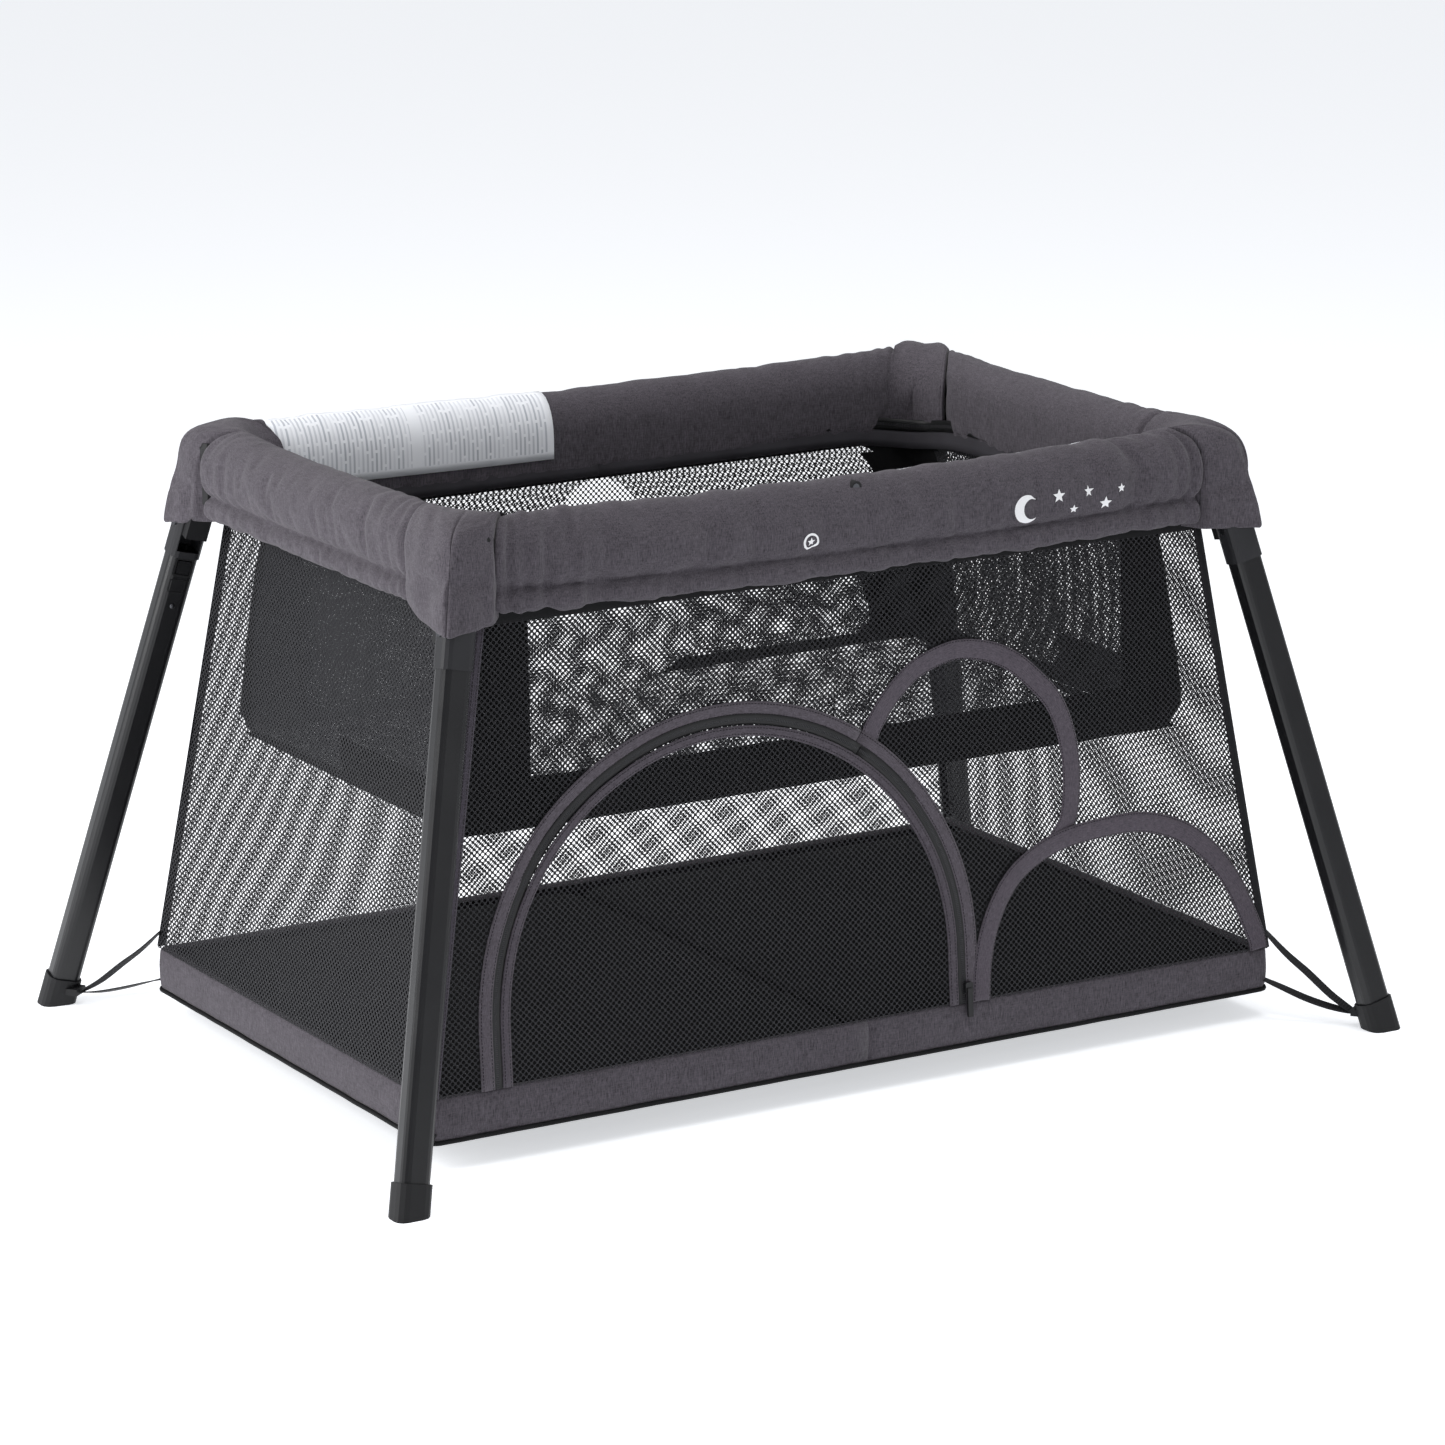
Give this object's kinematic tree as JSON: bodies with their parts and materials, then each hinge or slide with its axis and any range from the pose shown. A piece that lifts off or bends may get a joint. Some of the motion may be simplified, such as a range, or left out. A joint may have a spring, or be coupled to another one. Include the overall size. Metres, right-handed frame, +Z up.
{
  "type": "folding playpen",
  "caption": "Folding rectangular playpen with a padded rail, splayed legs, mesh sides, a zipped arched side door and a hanging bassinet.",
  "frame": {"origin": "on the floor under the middle of the pen, level with the flat bottoms of the four feet", "axes": "+X along the long sides, +Z up; the zipped side door is in the -Y side, left of the middle"},
  "size_m": [1.1906, 0.8427, 0.64],
  "materials": {
    "aluminium_black": "matt black anodised",
    "steel_grey": "plain drawn tube",
    "nylon_black": "moulded, fine grain",
    "nylon_charcoal": "moulded, satin",
    "button_black": "moulded",
    "pin_steel": "dark plated",
    "heather_cloth": "heather grey woven polyester",
    "mesh_cloth": "open knitted mesh",
    "lining_cloth": "plain black cloth",
    "webbing_black": "woven tape",
    "zip_black": "black painted"
  },
  "bodies": {
    "left_half": {"rail_tube_front_left": "steel_grey", "rail_tube_rear_left": "steel_grey", "rail_tube_end_left": "steel_grey", "corner_hub_front_left": "nylon_black", "corner_hub_rear_left": "nylon_black", "centre_bracket_front_left": "nylon_black", "centre_bracket_rear_left": "nylon_black", "rail_pad_front_left": "heather_cloth", "rail_pad_rear_left": "heather_cloth", "end_pad_left": "heather_cloth", "wall_end_left": "mesh_cloth", "wall_front_left": "mesh_cloth", "wall_rear_left": "mesh_cloth", "base_tray_left": "heather_cloth", "mattress_left": "lining_cloth", "bassinet_left": "lining_cloth", "centre_pin_front": "pin_steel", "centre_pin_rear": "pin_steel"},
    "right_half": {"rail_tube_front_right": "steel_grey", "rail_tube_rear_right": "steel_grey", "rail_tube_end_right": "steel_grey", "corner_hub_front_right": "nylon_black", "corner_hub_rear_right": "nylon_black", "centre_bracket_front_right": "nylon_black", "centre_bracket_rear_right": "nylon_black", "rail_pad_front_right": "heather_cloth", "rail_pad_rear_right": "heather_cloth", "end_pad_right": "heather_cloth", "wall_end_right": "mesh_cloth", "wall_front_right": "mesh_cloth", "wall_rear_right": "mesh_cloth", "base_tray_right": "heather_cloth", "mattress_right": "lining_cloth", "bassinet_right": "lining_cloth"},
    "leg_front_left": {"leg_tube_front_left": "aluminium_black", "leg_sleeve_front_left": "nylon_charcoal", "foot_front_left": "nylon_black", "leg_pivot_pin_front_left": "pin_steel", "strap_front_left": "webbing_black"},
    "button_front_left": {"release_button_front_left": "button_black"},
    "leg_front_right": {"leg_tube_front_right": "aluminium_black", "leg_sleeve_front_right": "nylon_charcoal", "foot_front_right": "nylon_black", "leg_pivot_pin_front_right": "pin_steel", "strap_front_right": "webbing_black"},
    "button_front_right": {"release_button_front_right": "button_black"},
    "leg_rear_left": {"leg_tube_rear_left": "aluminium_black", "leg_sleeve_rear_left": "nylon_charcoal", "foot_rear_left": "nylon_black", "leg_pivot_pin_rear_left": "pin_steel", "strap_rear_left": "webbing_black"},
    "button_rear_left": {"release_button_rear_left": "button_black"},
    "leg_rear_right": {"leg_tube_rear_right": "aluminium_black", "leg_sleeve_rear_right": "nylon_charcoal", "foot_rear_right": "nylon_black", "leg_pivot_pin_rear_right": "pin_steel", "strap_rear_right": "webbing_black"},
    "button_rear_right": {"release_button_rear_right": "button_black"},
    "door": {"door_panel": "mesh_cloth"},
    "zip_slider": {"zip_slider": "zip_black"}
  },
  "joints": [
    {"name": "frame_fold", "type": "hinge", "parent": "left_half", "child": "right_half", "pos_m": [0, 0, 0.6215], "axis": [0, -1, 0], "range_deg": [0, 170], "deforming": ["rail_pad_front_left", "rail_pad_front_right", "rail_pad_rear_left", "rail_pad_rear_right"]},
    {"name": "leg_fold_front_left", "type": "hinge", "parent": "left_half", "child": "leg_front_left", "pos_m": [-0.456, -0.292, 0.533], "axis": [0.9764, -0.027, -0.2141], "range_deg": [0, 79.4], "deforming": ["strap_front_left"]},
    {"name": "release_front_left", "type": "slide", "parent": "leg_front_left", "child": "button_front_left", "axis": [0.0176, -0.9789, 0.2036], "range_m": [0, 0.0025], "stiffness_N_per_m": 400},
    {"name": "leg_fold_front_right", "type": "hinge", "parent": "right_half", "child": "leg_front_right", "pos_m": [0.456, -0.292, 0.533], "axis": [0.9764, 0.027, 0.2141], "range_deg": [0, 79.4], "deforming": ["strap_front_right"]},
    {"name": "release_front_right", "type": "slide", "parent": "leg_front_right", "child": "button_front_right", "axis": [-0.0176, -0.9789, 0.2036], "range_m": [0, 0.0025], "stiffness_N_per_m": 400},
    {"name": "leg_fold_rear_left", "type": "hinge", "parent": "left_half", "child": "leg_rear_left", "pos_m": [-0.456, 0.292, 0.533], "axis": [-0.97, 0.0692, 0.2331], "range_deg": [0, 88.4], "deforming": ["strap_rear_left"]},
    {"name": "release_rear_left", "type": "slide", "parent": "leg_rear_left", "child": "button_rear_left", "axis": [0.1133, 0.9768, 0.1816], "range_m": [0, 0.0025], "stiffness_N_per_m": 400},
    {"name": "leg_fold_rear_right", "type": "hinge", "parent": "right_half", "child": "leg_rear_right", "pos_m": [0.456, 0.292, 0.533], "axis": [-0.97, -0.0692, -0.2331], "range_deg": [0, 88.4], "deforming": ["strap_rear_right"]},
    {"name": "release_rear_right", "type": "slide", "parent": "leg_rear_right", "child": "button_rear_right", "axis": [-0.1133, 0.9768, 0.1816], "range_m": [0, 0.0025], "stiffness_N_per_m": 400},
    {"name": "door_open", "type": "hinge", "parent": "left_half", "child": "door", "pos_m": [-0.155, -0.307, 0.0745], "axis": [1, 0, 0], "range_deg": [0, 105]},
    {"name": "zip_run", "type": "hinge", "parent": "right_half", "child": "zip_slider", "pos_m": [-0.155, -0.30285, 0.13235], "axis": [0, -0.9974, 0.0716], "range_deg": [0, 196]}
  ]
}
